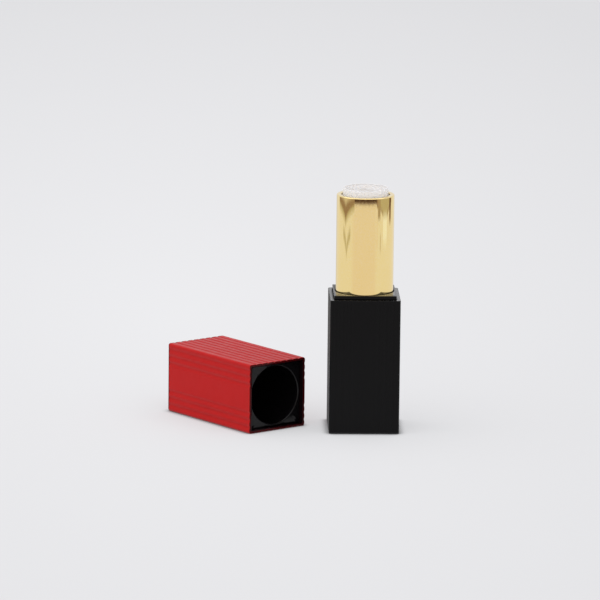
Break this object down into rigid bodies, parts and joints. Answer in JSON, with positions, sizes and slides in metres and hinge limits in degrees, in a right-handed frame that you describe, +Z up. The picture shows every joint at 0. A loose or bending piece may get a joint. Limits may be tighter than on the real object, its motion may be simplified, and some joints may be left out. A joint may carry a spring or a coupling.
{
  "type": "lipstick case",
  "caption": "Empty twist-up lipstick case: square ribbed black base, round gold sleeve with a raised white cup, and a square ribbed red cap lying beside it.",
  "frame": {"origin": "centre of the base's underside, on the surface that the case stands on", "axes": "+Z up along the mechanism's axis, -Y out of the base's front face, X and Y square to the base's faces"},
  "size_m": [0.0675, 0.0441, 0.0712],
  "materials": {
    "black_shell": "satin black moulded shell",
    "black_gloss": "polished black plastic",
    "black_inner": "plain black moulding",
    "steel": "tumbled steel slug",
    "mechanism_white": "natural moulded plastic",
    "soft_ring": "greased soft ring",
    "gold": "bright gold anodised metal",
    "cup_white": "white, slightly translucent plastic",
    "red_shell": "satin red coated shell"
  },
  "bodies": {
    "base": {"base_shell": "black_shell", "shoulder_collar": "black_gloss", "mechanism_carrier": "black_inner", "base_weight": "steel", "fork_tube": "mechanism_white", "brake_ring": "soft_ring"},
    "sleeve": {"gold_sleeve": "gold", "spiral_tube": "mechanism_white"},
    "cup": {"bullet_cup": "cup_white"},
    "cap": {"cap_shell": "red_shell", "cap_liner": "black_gloss"}
  },
  "joints": [
    {"name": "sleeve_turn", "type": "hinge", "parent": "base", "child": "sleeve", "pos_m": [0, 0, 0.05], "axis": [0, 0, 1], "range_deg": [0, 540]},
    {"name": "cup_lift", "type": "slide", "parent": "base", "child": "cup", "axis": [0, 0, 1], "range_m": [-0.024, 0]},
    {"name": "cap_pull", "type": "slide", "parent": "base", "child": "cap", "axis": [-0.5976, 0.8018, 0], "range_m": [0, 0.03]}
  ],
  "couplings": [
    {"joint": "cup_lift", "follows": "sleeve_turn", "m_per_rad": -0.0025465}
  ]
}
